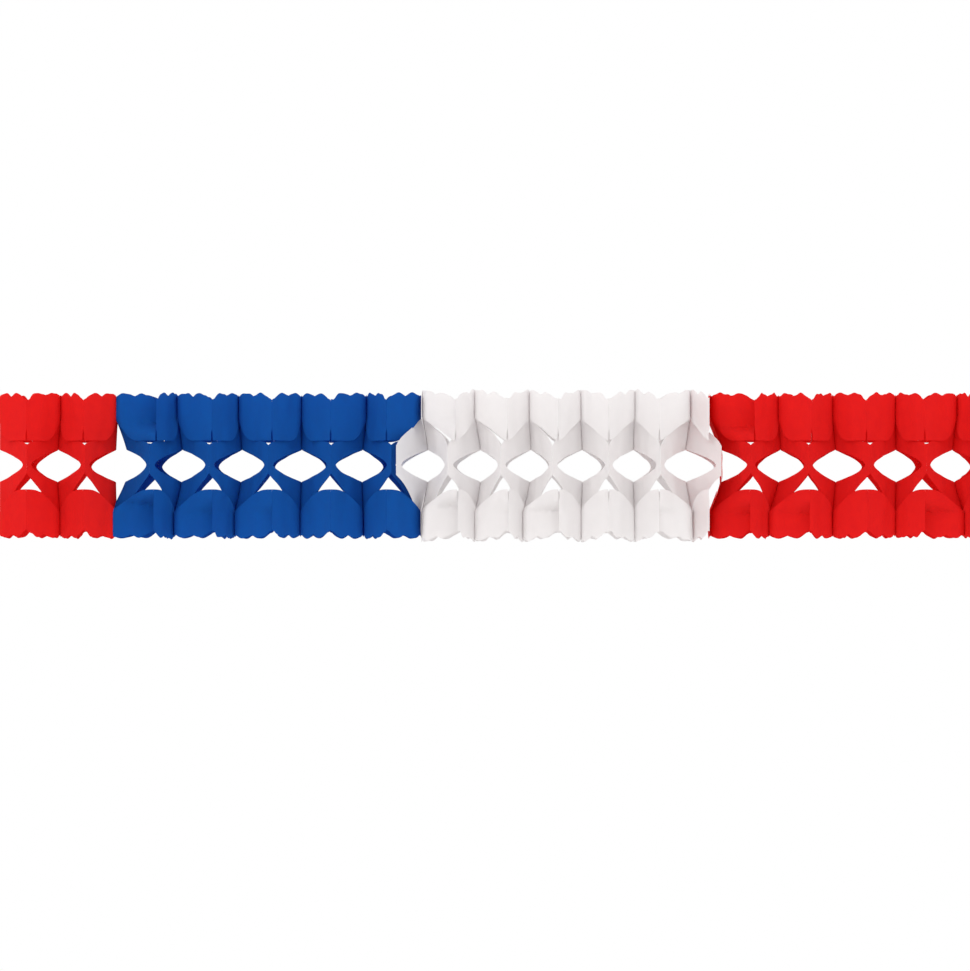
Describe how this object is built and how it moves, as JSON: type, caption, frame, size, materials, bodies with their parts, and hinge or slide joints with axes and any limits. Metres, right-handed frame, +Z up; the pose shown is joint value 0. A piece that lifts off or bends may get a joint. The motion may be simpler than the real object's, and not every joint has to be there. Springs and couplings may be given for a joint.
{
  "type": "tissue paper garland",
  "caption": "Pull-out honeycomb garland of die-cut tissue sheets in blocks of red, blue, white and red, with scalloped petals above and below a row of lozenges.",
  "frame": {"origin": "the middle of the garland", "axes": "+X along the garland from the left red block to the right one, Y from front to back, +Z up"},
  "size_m": [1.0838, 0.115, 0.16],
  "materials": {
    "red_tissue": "matte tissue paper",
    "blue_tissue": "matte tissue paper",
    "white_tissue": "matte tissue paper"
  },
  "bodies": {
    "root": {"red_left_sheet_01": "red_tissue", "red_left_sheet_02": "red_tissue", "red_left_sheet_03": "red_tissue", "red_left_sheet_04": "red_tissue", "blue_sheet_01": "blue_tissue", "blue_sheet_02": "blue_tissue", "blue_sheet_03": "blue_tissue", "blue_sheet_04": "blue_tissue", "blue_sheet_05": "blue_tissue", "blue_sheet_06": "blue_tissue", "blue_sheet_07": "blue_tissue", "blue_sheet_08": "blue_tissue", "blue_sheet_09": "blue_tissue", "blue_sheet_10": "blue_tissue", "white_sheet_01": "white_tissue", "white_sheet_02": "white_tissue", "white_sheet_03": "white_tissue", "white_sheet_04": "white_tissue", "white_sheet_05": "white_tissue", "white_sheet_06": "white_tissue", "white_sheet_07": "white_tissue", "white_sheet_08": "white_tissue", "white_sheet_09": "white_tissue", "white_sheet_10": "white_tissue", "white_sheet_11": "white_tissue", "white_sheet_12": "white_tissue", "red_right_sheet_01": "red_tissue", "red_right_sheet_02": "red_tissue", "red_right_sheet_03": "red_tissue", "red_right_sheet_04": "red_tissue", "red_right_sheet_05": "red_tissue", "red_right_sheet_06": "red_tissue", "red_right_sheet_07": "red_tissue", "red_right_sheet_08": "red_tissue", "red_right_sheet_09": "red_tissue", "red_right_sheet_10": "red_tissue", "red_right_sheet_11": "red_tissue"}
  },
  "joints": []
}
